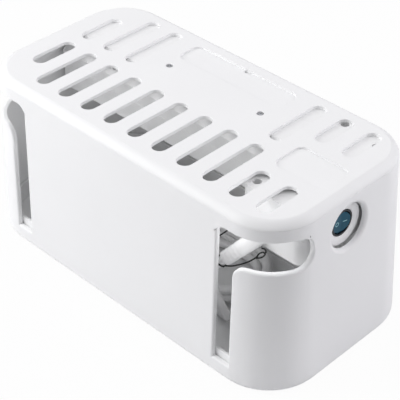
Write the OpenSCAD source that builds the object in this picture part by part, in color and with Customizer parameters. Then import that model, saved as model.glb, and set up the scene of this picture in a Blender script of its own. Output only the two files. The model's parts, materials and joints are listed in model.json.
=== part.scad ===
// Cable management box with a five-way power strip hung under its lift-off lid.
// Millimetres. X runs along the box, +Y is the back, +Z is up.
// The origin is on the table, under the middle of the box.

/* [Box] */
// Outside length at the lid seam
box_len = 310; // [279:1:345]
// Outside depth at the lid seam
box_dep = 153; // [138:1:175]
// Height of the lid seam above the table
seam_h = 143.5; // [129:0.5:165]
// Radius of the upright corners at the lid seam
corner_r = 39; // [30:1:42]
// How far each wall leans out from the seam down to the table
flare = 6; // [2:0.5:8]
// Thickness of the side walls
wall = 4; // [3:0.5:4.5]
// Height of the rounding along the bottom edge
base_round = 5; // [3:0.5:7]
// Gap between pieces that fit into each other
fit_gap = 0.3; // [0.2:0.05:0.5]

/* [Base tray] */
// Thickness of the tray floor
tray_t = 3; // [2:0.5:4]
// Height of the upstand that runs round inside the wall
lip_h = 17; // [12:1:25]
// Thickness of the upstand
lip_t = 2.5; // [2:0.25:3.5]
// Height of the inner divider above the tray floor
divider_h = 22; // [10:1:30]
// Distance of the divider behind the middle
divider_y = 46; // [45.5:0.5:50]
// How far the rubber feet stand proud
foot_proud = 1; // [0.5:0.25:2]
// Diameter of a rubber foot
foot_d = 14; // [8:1:20]

/* [Cable windows] */
// Distance of a slit's inner edge from the end of the box
slit_end = 53.2; // [48:0.2:60]
// Width of a slit
slit_w = 15.7; // [10:0.5:17]
// Height of a slit's lower end
slit_z = 15; // [12:1:30]
// Height of the wall left above the mouth
mouth_rim = 9.5; // [8:0.5:12]
// Height of the mouth
mouth_h = 26.5; // [20:0.5:30]
// Distance of the mouth's round end in front of the middle, on the end wall
mouth_end_y = 38; // [36:1:45]
// Radius that leads from the slit into the mouth
mouth_lead_r = 10; // [6:0.5:12]
// Radius of the mouth's upper inner corner
mouth_corner_r = 7; // [3:0.5:9]

/* [Lid] */
// Height of the bevelled edge of the lid
lid_drop = 5.8; // [5:0.2:7]
// Width of the bevelled edge in plan
lid_bevel = 6.7; // [5:0.1:8]
// Thickness of the deck
deck_t = 3; // [2.5:0.25:4]
// Depth of the locating skirt below the seam
skirt_h = 4; // [3:0.5:5]
// Thickness of the locating skirt
skirt_t = 2; // [1.5:0.25:2.25]
// Width of a vent slot
slot_w = 12.4; // [8:0.2:14]
// Distance of the outermost vent slots from the ends of the box
slot_end = 29; // [26:0.5:34]
// Distance of the vent slots from the front of the box
slot_front = 15.2; // [14:0.2:20]
// Distance of the vent slots from the back of the box
slot_back = 13.4; // [13:0.2:20]
// Width of the bridge between the two rows of slots
bridge_w = 11.2; // [8:0.2:20]
// Number of vent slots in the front row
slot_n = 11; // [11:1:11]
// Length of the long pocket in the deck
long_pocket_len = 106; // [60:1:110]
// Depth of the long pocket in plan
long_pocket_dep = 23.8; // [18:0.2:25]
// Length of the pocket at the right end of the deck
end_pocket_len = 46.5; // [30:0.5:50]
// Depth of the pocket at the right end in plan
end_pocket_dep = 30.7; // [20:0.1:32]
// How deep both pockets are sunk
pocket_depth = 1.5; // [1:0.25:1.75]
// Corner radius of the pockets
pocket_r = 7; // [3:0.5:9]

/* [Power strip] */
// Thickness of the strip's shells
shell_t = 2.2; // [1.8:0.1:2.5]
// Height of the strip
strip_h = 46.8; // [44:0.1:50]
// Height of the strip's lower shell
lower_h = 21; // [20.5:0.25:23]
// Depth of the long bar that holds the sockets
bar_dep = 67; // [60:0.5:68]
// Length of the deeper block at the switch end
block_len = 59; // [54:0.5:60]
// How far the block reaches in front of the middle
block_front = 41; // [38:0.5:44]
// Distance of the first socket from the strip's left end
socket_lead = 34; // [33.5:0.5:36]
// Wall between neighbouring sockets
socket_gap = 1.8; // [1.2:0.1:2.4]
// Number of sockets
socket_n = 5; // [5:1:5]
// Inside diameter of a socket well
well_d = 39.5; // [39:0.25:39.75]
// Depth of a socket well
well_depth = 17.5; // [17:0.25:18]
// Wall and floor thickness of a socket well
well_t = 1.6; // [1.2:0.1:1.7]
// Distance between the two pins
pin_pitch = 19; // [18.5:0.5:19.5]
// Diameter of a pin hole
pin_hole_d = 6; // [5.2:0.1:6.4]
// Travel of a safety shutter
shutter_travel = 7.6; // [7.4:0.1:8]

/* [Switch] */
// Height of the switch above the strip's underside
switch_up = 19; // [17:0.25:21]
// Distance of the switch in front of the middle
switch_front = 1.7; // [0:0.1:4]
// Diameter of the round opening in the end wall
switch_hole_d = 35; // [32:0.5:38]
// Outside diameter of the white collar
collar_d = 34; // [31:0.5:35]
// Outside diameter of the dark bezel
bezel_d = 21; // [20:0.25:22]
// Diameter of the rocker
rocker_d = 16.6; // [15:0.2:17]
// Tilt of the rocker either side of level
rocker_tilt = 7; // [5:0.5:8]

/* [Mains lead] */
// Diameter of the lead
cord_d = 7; // [6.6:0.1:7.2]
// Width of the hank across its two runs
hank_w = 68; // [66:0.5:70]
// Length of the hank from end to end
hank_len = 140; // [130:1:142]
// Number of layers in the hank
hank_layers = 3; // [2:1:3]
// Diameter of the plug's face
plug_d = 37; // [35:0.5:38]

/* [Hidden] */
$fn = 72;
eps = 0.01;

// Centres of the upright corners, the same at every height.
corner_x = box_len / 2 - corner_r;
corner_y = box_dep / 2 - corner_r;
// Radius of the outer wall about a corner centre at height z.
function wall_r(z) = corner_r + flare * (seam_h - z) / seam_h;
// Distance of the outer wall from the middle plane at height z.
function wall_y(z) = corner_y + wall_r(z);

lid_top = seam_h + lid_drop;
deck_under = lid_top - deck_t;
tray_floor = foot_proud + tray_t;
lip_top = tray_floor + lip_h;
rim_z = foot_proud + 1;
foot_recess = 0.8;
foot_in_x = 32;
foot_in_y = 28;
snap_x = 60;
snap_len = 12;
snap_h = 2.5;
snap_play = 0.4;
// The lid's edge: 1 gives a round edge, 2 a straight bevel.
edge_power = 1.45;
edge_steps = 8;
round_steps = 5;

slit_x = box_len / 2 - slit_end;
mouth_z = seam_h - mouth_rim - mouth_h;

// Vent slots, [number, front end, back end]: a front row and the two groups behind it.
slot_pitch = (box_len - 2 * slot_end) / (slot_n - 1);
front_y = slot_front - box_dep / 2;
back_y = box_dep / 2 - slot_back;
bridge_mid = 0.8;
front_row_end = bridge_mid - bridge_w / 2;
back_row_start = bridge_mid + bridge_w / 2;
corner_slot_cut = 17.3;
left_slot_cut = 18.4;
end_slot_gap = 20.8;
last = slot_n - 1;
vents = concat(
    [[0, front_y + corner_slot_cut, front_row_end]],
    [for (i = [1 : last - 2]) [i, front_y, front_row_end]],
    [for (i = [last - 1, last]) [i, front_y, front_row_end - end_slot_gap]],
    [[0, back_row_start, back_y - left_slot_cut]],
    [for (i = [1, 2, last - 2]) [i, back_row_start, back_y]],
    [for (i = [last - 1, last]) [i, back_row_start + end_slot_gap - 0.7, back_y]]);
long_pocket_back = 14.8;
end_pocket_in = 13;
end_pocket_mid = -0.35;
deck_screw_x = 47.5;
deck_screw_seat = 1.2;
deck_boss_h = 8;
screw_head_d = 5;
screw_shank_d = 2.9;
deck_screw_len = 5.5;

// Power strip: a long bar behind, with a deeper block round the switch at the right end.
// It clears the inside of the lid's skirt on all sides.
skirt_in = wall + fit_gap + skirt_t;
bar_x0 = -box_len / 2 + skirt_in + 2.7;
strip_x1 = box_len / 2 - skirt_in - 0.7;
block_x0 = strip_x1 - block_len;
strip_y1 = box_dep / 2 - skirt_in - 3.2;
bar_y0 = strip_y1 - bar_dep;
block_y0 = -block_front;
block_r = 9;
strip_back_r = corner_r - 11;
strip_chamfer = 13;
block_step = 2;
strip_top = deck_under;
strip_z = strip_top - strip_h;
split_z = strip_z + lower_h;
switch_z = strip_z + switch_up;
deck_screw_y = bar_y0 + 24.5;
post_r = 4;
post_seat = 4;
strip_screw_head_d = 5.8;
strip_screw_len = 18;
strip_posts = [
    [block_x0 + 9, block_y0 + 8], [strip_x1 - 10, block_y0 + 8], [strip_x1 - 16, strip_y1 - 13],
    [block_x0 + 9, strip_y1 - 7], [bar_x0 + 56.5, bar_y0 + 7], [bar_x0 + 24, strip_y1 - 7]
];

// Sockets: square modules with a round well, side by side in a window of the lower shell.
well_out_d = well_d + 2 * well_t;
socket_pitch = well_out_d + socket_gap;
socket_y = (bar_y0 + strip_y1) / 2;
socket_x = [for (i = [0 : socket_n - 1]) bar_x0 + socket_lead + i * socket_pitch];
module_gap = 0.15;
lip_w = 10;
lip_reach = 1.5;
well_floor = strip_z + well_depth;
well_top = well_floor + well_t;
shutter_z = well_top + 0.2;
shutter_t = 2;
shutter_w = pin_hole_d + 2.2;
shutter_len = pin_pitch + pin_hole_d + 3;
spring_solid = 4;
stop_x = shutter_w / 2 + shutter_travel + fit_gap + spring_solid;

// Busbars run either side of the pins, the earth bar above them.
leaf_t = 0.8;
contact_z = shutter_z + shutter_t + 0.6;
contact_h = 9;
bar_line = pin_pitch / 2 + 8;
live_y = socket_y - bar_line;
neutral_y = socket_y + bar_line;
bar_end_left = socket_x[0] - 6;
bar_end_right = socket_x[socket_n - 1] + 6;
earth_z = contact_z + contact_h + 2;
earth_arm_x = well_d / 2 - 1.2;

// Switch, turned about X through its centre.
switch_y = -switch_front;
collar_x1 = strip_x1 + 2.5;
bezel_x1 = strip_x1 + 1.4;
rocker_x = strip_x1 + 0.2;
pivot_back = 2.8;
pivot_d = 1.6;
pivot_len = 1.3;
housing_x1 = strip_x1 - shell_t;
housing_len = 18;
housing_t = 1.2;
housing_d = bezel_d - 1;
terminal_len = 8;
terminal_x = housing_x1 - housing_len - terminal_len;
terminal_y = 5;

// Mains lead: it leaves the block's front behind the right slit through a bent boot, falls to
// the tray, runs into the hank and ends in the plug.
cord_r = cord_d / 2;
gland_x = slit_x + slit_w / 2;
gland_z = strip_z + 8.2;
gland_r = cord_r + 0.75;
sheath_y = block_y0 + 24;
clamp_y = block_y0 + 15;
clamp_t = 6;
clamp_screw_x = 7;
boot_root_r = 6.9;
boot_tip_r = cord_r + 1.2;
boot_points = [
    [109.7, -41, 107.7], [109.4, -45.4, 107.4], [108.7, -49.8, 106.6], [107.6, -53.8, 105.3],
    [106, -57.6, 103.5], [104.1, -60.9, 101.2], [101.8, -63.7, 98.6], [99.3, -65.9, 95.6]
];
rest_z = tray_floor + fit_gap;
hank_c = [8, -5];
hank_angle = 90;
hank_h = hank_layers * cord_d;
cord_points = [
    [99.3, -65.9, 95.6], [94.3, -68.3, 89.6], [89.7, -68.4, 82.8], [86.6, -67.2, 75.2],
    [85.8, -65.5, 67.2], [87.1, -64, 59.2], [89.7, -63, 51.5], [91.4, -60.8, 43.7],
    [91.5, -57.5, 36.1], [89.9, -53.5, 29.1], [86.6, -49.2, 23], [81.7, -45.1, 17.8],
    [75.4, -41.5, 13.8], [68.2, -38.8, 10.9], [60.4, -36.9, 9.1], [52.2, -35.8, 8.1],
    [44, -35.5, 7.8]
];
tail_points = [
    [-40, -48, 22.8], [-32, -47.4, 22.2], [-22, -45, 21.7], [-12, -41.7, 21.5],
    [-2, -38.4, 21.5], [6, -36.3, 21.6], [14, -35.5, 21.8]
];
plug_face_x = -104;
plug_y = tail_points[0][1];
plug_z = rest_z + plug_d / 2;
plug_len = 46;
plug_grip_d = cord_d + 3;
plug_grip_len = 8;
pin_d = 4.8;
pin_len = 19;
pin_root = 12;

// A solid of the box's rounded plan. The profile lists [radius about the corner
// centres, height] from bottom to top.
module rounded_solid(profile) {
    n = len(profile);
    for (sx = [-1, 1], sy = [-1, 1])
        translate([sx * corner_x, sy * corner_y, 0])
            rotate_extrude() polygon(concat([[0, profile[0][1]]], profile, [[0, profile[n - 1][1]]]));
    rotate([90, 0, 90]) translate([0, 0, -corner_x])
        linear_extrude(2 * corner_x) section(profile, corner_y);
    rotate([90, 0, 0]) translate([0, 0, -corner_y])
        linear_extrude(2 * corner_y) section(profile, corner_x);
}

// The profile and its mirror image, standing off the middle by a corner distance.
module section(profile, off) {
    n = len(profile);
    polygon(concat([for (p = profile) [off + p[0], p[1]]],
                   [for (i = [n - 1 : -1 : 0]) [-off - profile[i][0], profile[i][1]]]));
}

// Points along an arc about [x, y], from one angle to another.
function arc(x, y, r, from, to, steps = 8) = [for (k = [0 : steps])
    let (a = from + (to - from) * k / steps) [x + r * cos(a), y + r * sin(a)]];

// A slot with round ends along Y, cut through the heights z0 to z1.
module slot(x, y0, y1, w, z0, z1) {
    translate([x - w / 2, y0 + w / 2, z0]) cube([w, y1 - y0 - w, z1 - z0]);
    for (y = [y0 + w / 2, y1 - w / 2]) translate([x, y, z0]) cylinder(d = w, h = z1 - z0);
}

// A block with round upright corners.
module round_block(x0, x1, y0, y1, r, z0, z1) {
    translate([x0 + r, y0, z0]) cube([x1 - x0 - 2 * r, y1 - y0, z1 - z0]);
    translate([x0, y0 + r, z0]) cube([x1 - x0, y1 - y0 - 2 * r, z1 - z0]);
    for (x = [x0 + r, x1 - r], y = [y0 + r, y1 - r])
        translate([x, y, z0]) cylinder(r = r, h = z1 - z0);
}

// A tube swept along points. Each ring's first spoke is the one before it, kept square to the run.
function unit(v) = v / norm(v);
function tangent(p, i) = unit(p[min(i + 1, len(p) - 1)] - p[max(i - 1, 0)]);
function spoke(p, i) =
    let (t = tangent(p, i),
         from = i > 0 ? spoke(p, i - 1) : abs(t[2]) < 0.9 ? [0, 0, 1] : [1, 0, 0])
    unit(from - (from * t) * t);
module tube_along(p, r, sides = 8, end_r = undef) {
    n = len(p);
    last_r = end_r == undef ? r : end_r;
    rings = [for (i = [0 : n - 1])
        let (a = spoke(p, i), b = cross(tangent(p, i), a), own_r = r + (last_r - r) * i / (n - 1))
        for (k = [0 : sides - 1])
            p[i] + own_r * (cos(k * 360 / sides) * a + sin(k * 360 / sides) * b)];
    faces = concat(
        [[for (k = [0 : sides - 1]) k]],
        [for (i = [0 : n - 2], k = [0 : sides - 1])
            let (a = i * sides + k, b = i * sides + (k + 1) % sides)
            [a, a + sides, b + sides, b]],
        [[for (k = [sides - 1 : -1 : 0]) (n - 1) * sides + k]]);
    polyhedron(points = rings, faces = faces, convexity = 6);
}

// ---- Box ----

function wall_profile(inset, z0, z1) = [[wall_r(z0) - inset, z0], [wall_r(z1) - inset, z1]];

// The rounded bottom edge's profile between two heights.
function round_angle(z) = acos(1 - (z - foot_proud) / base_round);
function foot_profile(z0, z1) = [for (k = [0 : round_steps])
    let (a = round_angle(z0) + (round_angle(z1) - round_angle(z0)) * k / round_steps,
         z = foot_proud + base_round * (1 - cos(a)))
        [wall_r(z) - base_round * (1 - sin(a)), z]];

module box_shell() {
    edge_top = foot_proud + base_round;
    color("white") difference() {
        rounded_solid(concat(foot_profile(rim_z, edge_top), [[wall_r(seam_h), seam_h]]));
        rounded_solid(wall_profile(wall, rim_z - 1, seam_h + 1));
        for (side = [-1, 1]) cable_window(side);
        translate([strip_x1, switch_y, switch_z]) rotate([0, 90, 0]) cylinder(d = switch_hole_d, h = 40);
        snap_blocks(snap_play);
    }
}

// The slit in the front wall and the mouth that leads from its top round the corner.
module cable_window(side) {
    reach = box_len;
    slit_out = slit_x + slit_w;
    mouth_r = mouth_h / 2;
    mouth_mid = mouth_z + mouth_r;
    mouth_top = mouth_z + mouth_h;
    end_y = -mouth_end_y - mouth_r;
    front = concat(
        [[slit_x, slit_z], [slit_out, slit_z]],
        arc(slit_out + mouth_lead_r, mouth_z - mouth_lead_r, mouth_lead_r, 180, 90),
        [[reach, mouth_z], [reach, mouth_top]],
        arc(slit_x + mouth_corner_r, mouth_top - mouth_corner_r, mouth_corner_r, 90, 180));
    end = concat([[end_y - 1, mouth_z]], arc(end_y, mouth_mid, mouth_r, -90, 90), [[end_y - 1, mouth_top]]);
    mirror([side < 0 ? 1 : 0, 0, 0]) {
        translate([0, end_y, 0]) rotate([90, 0, 0]) linear_extrude(reach) polygon(front);
        translate([corner_x, 0, 0]) rotate([90, 0, 90]) linear_extrude(reach) polygon(end);
    }
}

// Beads on the tray's upstand, or with play their pockets in the wall.
module snap_blocks(play) {
    z = tray_floor + 9;
    out = wall_y(z) - wall + 1 + play;
    for (x = [-snap_x, snap_x], side = [-1, 1])
        translate([x - snap_len / 2 - play, side > 0 ? out - 3 : -out, z - play])
            cube([snap_len + 2 * play, 3, snap_h + 2 * play]);
}

module base_tray() {
    in = wall + fit_gap;
    color("white") {
        difference() {
            union() {
                rounded_solid(foot_profile(foot_proud, rim_z));
                difference() {
                    union() {
                        rounded_solid(wall_profile(in, rim_z - eps, lip_top));
                        snap_blocks(0);
                    }
                    rounded_solid(wall_profile(in + lip_t, tray_floor, lip_top + 1));
                }
            }
            feet_at() translate([0, 0, -1]) cylinder(d = foot_d, h = foot_recess + foot_proud + 1);
        }
        divider();
    }
}

// Low wall that keeps the coiled lead off the back, with a round right end.
module divider() {
    t = 2;
    r = 18;
    x = box_len / 2 - 55;
    outline = concat([[-x, divider_y]], arc(x, divider_y - r, r, 90, 0),
                     arc(x, divider_y - r, r - t, 0, 90), [[-x, divider_y - t]]);
    translate([0, 0, tray_floor - eps]) linear_extrude(divider_h) polygon(outline);
}

module feet_at() {
    for (x = [-1, 1], y = [-1, 1])
        translate([x * (box_len / 2 - foot_in_x), y * (box_dep / 2 - foot_in_y), 0]) children();
}

module feet() {
    color("dimgray") feet_at() cylinder(d = foot_d, h = foot_proud + foot_recess);
}

// ---- Lid ----

function slot_x(i) = (i - (slot_n - 1) / 2) * slot_pitch;

module lid() {
    skirt_out = wall + fit_gap;
    edge = [for (k = [0 : edge_steps]) let (a = 90 * k / edge_steps)
        [corner_r - lid_bevel * (1 - cos(a) ^ edge_power), seam_h + lid_drop * sin(a) ^ edge_power]];
    color("whitesmoke") difference() {
        union() {
            rounded_solid(edge);
            rounded_solid([[corner_r - skirt_out, seam_h - skirt_h], [corner_r - skirt_out, seam_h + 1]]);
        }
        rounded_solid([
            [corner_r - skirt_in, seam_h - skirt_h - 1],
            [corner_r - skirt_in, deck_under]]);
        for (v = vents) slot(slot_x(v[0]), v[1], v[2], slot_w, deck_under - 1, lid_top + 1);
        pockets();
        finger_notch();
        for (x = [-1, 1]) translate([x * deck_screw_x, deck_screw_y, deck_under - 1]) {
            cylinder(d = screw_shank_d + 0.5, h = deck_t + 2);
            translate([0, 0, 1 + deck_screw_seat]) cylinder(d = screw_head_d + 0.4, h = deck_t + 2);
        }
    }
}

// A long pocket at the back of the deck and a short one at its right end.
module pockets() {
    low = lid_top - pocket_depth;
    y1 = box_dep / 2 - long_pocket_back;
    x1 = box_len / 2 - end_pocket_in;
    y = end_pocket_mid;
    half_len = long_pocket_len / 2;
    half_dep = end_pocket_dep / 2;
    round_block(-half_len, half_len, y1 - long_pocket_dep, y1, pocket_r, low, lid_top + 1);
    round_block(x1 - end_pocket_len, x1, y - half_dep, y + half_dep, pocket_r, low, lid_top + 1);
}

// A small notch through the deck at the back edge of the long pocket.
module finger_notch() {
    x = 2;
    w = 5;
    t = 3;
    y = box_dep / 2 - long_pocket_back - 1;
    translate([x - w / 2, y - t / 2, deck_under - 1]) cube([w, t, deck_t + 2]);
    for (side = [-1, 1]) translate([x + side * w / 2, y, deck_under - 1]) cylinder(d = t, h = deck_t + 2);
}

// A self-tapping screw, head up, with its neck at the origin.
module screw(head_d, head_h, shank_d, len) {
    translate([0, 0, -len]) cylinder(d = shank_d, h = len + eps);
    difference() {
        cylinder(d = head_d, h = head_h);
        for (a = [0, 90]) rotate([0, 0, a])
            translate([-head_d * 0.32, -0.35, head_h - 0.7]) cube([head_d * 0.64, 0.7, 1]);
    }
}

module lid_screws() {
    color("silver") for (x = [-1, 1])
        translate([x * deck_screw_x, deck_screw_y, deck_under + deck_screw_seat])
            screw(screw_head_d, 1.3, screw_shank_d, deck_screw_len);
}

// ---- Power strip ----

// Plan of the strip, drawn in by an inset, between two heights.
module strip_block(inset, z0, z1) {
    h = z1 - z0;
    r = strip_back_r;
    x0 = bar_x0 + inset;
    x1 = strip_x1 - inset;
    y1 = strip_y1 - inset;
    translate([x0, bar_y0 + inset, z0]) cube([x1 - x0, strip_y1 - r - bar_y0 - inset, h]);
    translate([bar_x0 + r, bar_y0 + inset, z0])
        cube([strip_x1 - bar_x0 - 2 * r, y1 - bar_y0 - inset, h]);
    for (x = [bar_x0 + r, strip_x1 - r])
        translate([x, strip_y1 - r, z0]) cylinder(r = r - inset, h = h);
    round_block(block_x0 + inset, x1, block_y0 + inset, strip_y1 - r, block_r - inset, z0, z1);
}

// What the chamfer along the bar's top front edge takes away.
module bar_chamfer(inset) {
    low = strip_top - strip_chamfer - inset * sqrt(2);
    reach = strip_top + 1 - low;
    translate([bar_x0 - 1, bar_y0, low]) rotate([90, 0, 90])
        linear_extrude(block_x0 + inset - bar_x0 + 1)
            polygon([[-1, -1], [reach, reach], [-1, reach]]);
}

// The front of the switch block stands a little lower than the bar.
module block_lowering(inset) {
    translate([block_x0 - 1, block_y0 - 1, strip_top - block_step - inset])
        cube([strip_x1 - block_x0 + 2, bar_y0 + inset - block_y0 + 1, block_step + inset + 1]);
}

module strip_top_shell() {
    color("white") difference() {
        union() {
            difference() {
                strip_block(0, split_z, strip_top);
                difference() {
                    strip_block(shell_t, split_z - 1, strip_top - shell_t);
                    bar_chamfer(shell_t);
                    block_lowering(shell_t);
                }
            }
            for (p = strip_posts) translate([p[0], p[1], split_z])
                cylinder(r = post_r, h = strip_top - split_z - 1);
            for (x = [-1, 1]) translate([x * deck_screw_x, deck_screw_y, strip_top - deck_boss_h])
                cylinder(d = screw_shank_d + 3.5, h = deck_boss_h - 1);
        }
        bar_chamfer(0);
        block_lowering(0);
        for (p = strip_posts) translate([p[0], p[1], split_z - 1]) {
            cylinder(d = 3.2, h = strip_h);
            translate([0, 0, 1 + post_seat]) cylinder(d = 6.6, h = strip_h);
        }
        for (x = [-1, 1]) translate([x * deck_screw_x, deck_screw_y, strip_top - deck_boss_h + 1])
            cylinder(d = screw_shank_d, h = deck_boss_h);
        switch_bore();
    }
}

// Round hole for the collar in the strip's right end.
module switch_bore() {
    at_switch(strip_x1 - shell_t - 1) cylinder(d = bezel_d + 1, h = shell_t + 2);
}

module strip_bottom_shell() {
    window = socket_pitch;
    color("white") difference() {
        union() {
            difference() {
                strip_block(0, strip_z, split_z);
                strip_block(shell_t, strip_z + shell_t, split_z + 1);
            }
            for (p = strip_posts) translate([p[0], p[1], strip_z + eps])
                cylinder(r = post_r, h = split_z - strip_z - eps);
        }
        for (p = strip_posts) translate([p[0], p[1], strip_z + shell_t]) cylinder(d = 2.8, h = lower_h);
        translate([socket_x[0] - window / 2, socket_y - window / 2, strip_z - 1])
            cube([window * socket_n, window, shell_t + 2]);
        at_gland(block_y0 + shell_t + 1) cylinder(r = gland_r, h = shell_t + 2);
        switch_bore();
    }
}

module strip_screws() {
    color("silver") for (p = strip_posts)
        translate([p[0], p[1], split_z + post_seat]) screw(strip_screw_head_d, 2, 2.8, strip_screw_len);
}

module at_socket(i) { translate([socket_x[i], socket_y, 0]) children(); }

// A square module with a round well open below, pin holes, earth slots, shutter guides,
// a spring stop, and lips that rest on the shell in front and behind.
module socket_well(i) {
    guide_in = shutter_len / 2 + 0.15;
    guide_t = 1.2;
    stop_t = 1.6;
    side = socket_pitch - 2 * module_gap;
    depth = side + 2 * lip_reach;
    color("white") at_socket(i) {
        difference() {
            union() {
                translate([-side / 2, -side / 2, strip_z]) cube([side, side, shell_t + 1]);
                translate([0, 0, strip_z]) cylinder(d = well_out_d, h = well_depth + well_t);
                translate([-lip_w / 2, -depth / 2, strip_z + shell_t]) cube([lip_w, depth, 1]);
            }
            translate([0, 0, strip_z - 1]) cylinder(d = well_d, h = well_depth + 1);
            for (y = [-1, 1]) translate([0, y * pin_pitch / 2, well_floor - 1])
                cylinder(d = pin_hole_d, h = well_t + 2);
            for (x = [-1, 1]) translate([x * earth_arm_x - 1, -2.6, well_floor - 1])
                cube([2, 5.2, well_t + 2]);
        }
        for (way = [-1, 1])
            translate([-shutter_w / 2, way > 0 ? guide_in : -guide_in - guide_t, well_top - eps])
                cube([stop_x + shutter_w / 2 - 3, guide_t, shutter_t + 0.2]);
        translate([stop_x, -2.5, well_top - eps]) cube([stop_t, 5, shutter_t + 0.2]);
    }
}

// A plate over both pin holes, its leading edge bevelled so that the pins push it aside.
module shutter(i) {
    bevel = 1.2;
    x = shutter_w / 2;
    color("lightgray") at_socket(i)
        translate([0, shutter_len / 2, shutter_z]) rotate([90, 0, 0]) linear_extrude(shutter_len)
            polygon([[-x + bevel, 0], [x, 0], [x, shutter_t], [-x, shutter_t], [-x, bevel]]);
}

// Coil spring, as a stack of round turns, from the shutter to the stop.
module shutter_spring(i) {
    turns = 7;
    start = shutter_w / 2 + 0.05;
    pitch = (stop_x - 0.05 - start) / turns;
    color("silver") at_socket(i)
        translate([start, 0, shutter_z + 1]) rotate([0, 90, 0])
            for (k = [0 : turns - 1]) translate([0, 0, (k + 0.5) * pitch])
                rotate_extrude($fn = 24) translate([0.7, 0]) square([0.45, pitch + eps], center = true);
}

// A bar beside the pin line with a pair of sprung leaves at each pin.
module busbar(side) {
    y_bar = socket_y + side * bar_line;
    y_tip = socket_y + side * (pin_pitch / 2 - 3.5);
    translate([bar_end_left, y_bar - leaf_t / 2, contact_z])
        cube([bar_end_right - bar_end_left, leaf_t, contact_h]);
    for (x = socket_x, s = [-1, 1])
        translate([x + s * (pin_d + leaf_t) / 2 - leaf_t / 2, min(y_bar, y_tip), contact_z])
            cube([leaf_t, abs(y_bar - y_tip), contact_h]);
}

module live_busbar() { color("goldenrod") busbar(-1); }
module neutral_busbar() { color("goldenrod") busbar(1); }

// A flat strip above the wells with two arms into each, one either side of the plug.
module earth_busbar() {
    arm_low = strip_z + 6;
    arm_w = 4;
    x0 = socket_x[0] - earth_arm_x - leaf_t / 2;
    x1 = socket_x[socket_n - 1] + earth_arm_x + leaf_t / 2;
    color("goldenrod") {
        translate([x0, socket_y - arm_w / 2, earth_z]) cube([x1 - x0, arm_w, leaf_t]);
        for (x = socket_x, s = [-1, 1])
            translate([x + s * earth_arm_x - leaf_t / 2, socket_y - arm_w / 2, arm_low])
                cube([leaf_t, arm_w, earth_z - arm_low + eps]);
    }
}

// ---- Switch ----

// Places a part that is turned about Z so that its axis lies along X at the switch.
module at_switch(x) { translate([x, switch_y, switch_z]) rotate([0, 90, 0]) children(); }

// Round bore across the switch in which the rocker's pivot pins turn.
module pivot_bore(half_len) {
    translate([rocker_x - pivot_back, switch_y, switch_z - half_len])
        cylinder(d = pivot_d + 2 * fit_gap, h = 2 * half_len);
}

module switch_collar() {
    dish = collar_x1 - strip_x1;
    color("white") at_switch(strip_x1) difference() {
        cylinder(d = collar_d, h = dish);
        translate([0, 0, -1]) cylinder(d = bezel_d + fit_gap, h = dish + 2);
        translate([0, 0, 1.2]) cylinder(d1 = bezel_d + fit_gap, d2 = collar_d - 2.4, h = dish - 1.2 + eps);
    }
}

module switch_bezel() {
    color("black") difference() {
        at_switch(housing_x1) cylinder(d = bezel_d, h = bezel_x1 - housing_x1);
        at_switch(housing_x1 - 1) cylinder(d = rocker_d + 1.4, h = housing_len);
        pivot_bore(rocker_d / 2 + pivot_len + fit_gap);
    }
}

// A cup behind the bezel, with slots for the terminals and notches for the rocker's pivot pins.
module switch_housing() {
    notch = pivot_d + 2 * fit_gap;
    color("dimgray") difference() {
        at_switch(housing_x1 - housing_len) cylinder(d = housing_d, h = housing_len);
        at_switch(housing_x1 - housing_len + housing_t)
            cylinder(d = housing_d - 2 * housing_t, h = housing_len);
        for (y = [-terminal_y, 0, terminal_y])
            translate([housing_x1 - housing_len - 1, switch_y + y - 0.45, switch_z - 3.2])
                cube([housing_t + 2, 0.9, 6.4]);
        pivot_bore(housing_d);
        translate([rocker_x - pivot_back, switch_y - notch / 2, switch_z - housing_d])
            cube([5, notch, 2 * housing_d]);
    }
}

module switch_terminals() {
    color("goldenrod") for (y = [-terminal_y, 0, terminal_y])
        translate([terminal_x, switch_y + y - 0.4, switch_z - 3.15])
            cube([terminal_len + 5, 0.8, 6.3]);
}

// Places a part on the rocker's pivot, tipped to its resting side.
module at_rocker() {
    translate([rocker_x - pivot_back, switch_y, switch_z])
        rotate([0, 0, -rocker_tilt]) children();
}

// Rocker with a shallow valley across its face and two pivot pins. Its front half rests pressed in.
module rocker() {
    r = rocker_d / 2;
    rise = r * tan(rocker_tilt);
    depth = 3.4;
    color("teal") at_rocker() {
        translate([pivot_back, 0, 0]) {
            intersection() {
                translate([-5, 0, 0]) rotate([0, 90, 0]) cylinder(r = r, h = 12);
                translate([0, 0, -r]) linear_extrude(2 * r)
                    polygon([[-depth, -r], [rise, -r], [0, 0], [rise, r], [-depth, r]]);
            }
            translate([-depth - 2, -1.2, -r + 1]) cube([2.1, 2.4, 2 * r - 2]);
        }
        translate([0, 0, -r - pivot_len]) cylinder(d = pivot_d, h = 2 * (r + pivot_len));
    }
}

// Sprung pin under the rocker that tips the moving contact over.
module rocker_plunger() {
    len = 3;
    color("silver") at_rocker()
        translate([pivot_back - 5.4 - len, 0, 0]) rotate([0, 90, 0]) cylinder(d = 2, h = len);
}

// ---- Wiring inside the strip ----

wire_r = 1.4;
wire_y = sheath_y + 0.05;
low_z = gland_z - 2;
live_z = contact_z + 5;
neutral_z = contact_z + 2;
lamp_z = contact_z + 7;
// Where the wires to the switch leave the bar for the block.
swing_x = max(bar_end_right + 2, block_x0 - 12);

module wire(points, colour) { color(colour) tube_along(points, wire_r); }

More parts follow.
